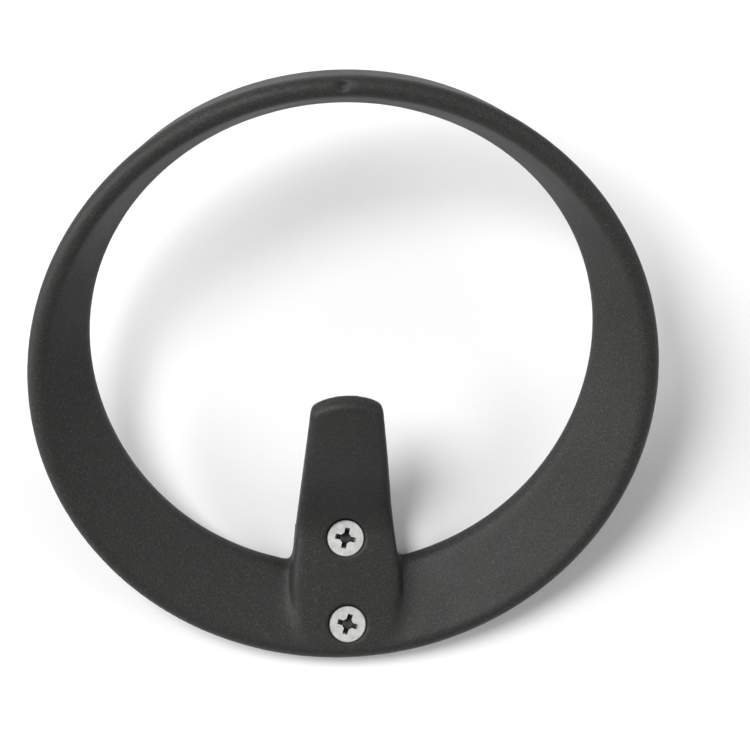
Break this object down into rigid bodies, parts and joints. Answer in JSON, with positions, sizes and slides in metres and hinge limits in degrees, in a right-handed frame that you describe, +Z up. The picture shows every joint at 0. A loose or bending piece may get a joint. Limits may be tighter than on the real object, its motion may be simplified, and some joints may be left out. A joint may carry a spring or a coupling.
{
  "type": "ring wall hook",
  "caption": "Cast wall hook: a wide ring leaning out from the wall, with a short upright prong at its foot, held by countersunk screws.",
  "frame": {"origin": "on the wall plane, on the axis of the lower screw", "axes": "+X to the viewer's right, +Y into the wall, +Z up; the hook stands out from the wall towards -Y"},
  "size_m": [0.1516, 0.0986, 0.1418],
  "materials": {
    "powder_coat": "satin, fine-textured charcoal powder coat",
    "zinc_plated_steel": "matte zinc plating"
  },
  "bodies": {
    "root": {"casting": "powder_coat", "upper_screw": "zinc_plated_steel", "lower_screw": "zinc_plated_steel"}
  },
  "joints": []
}
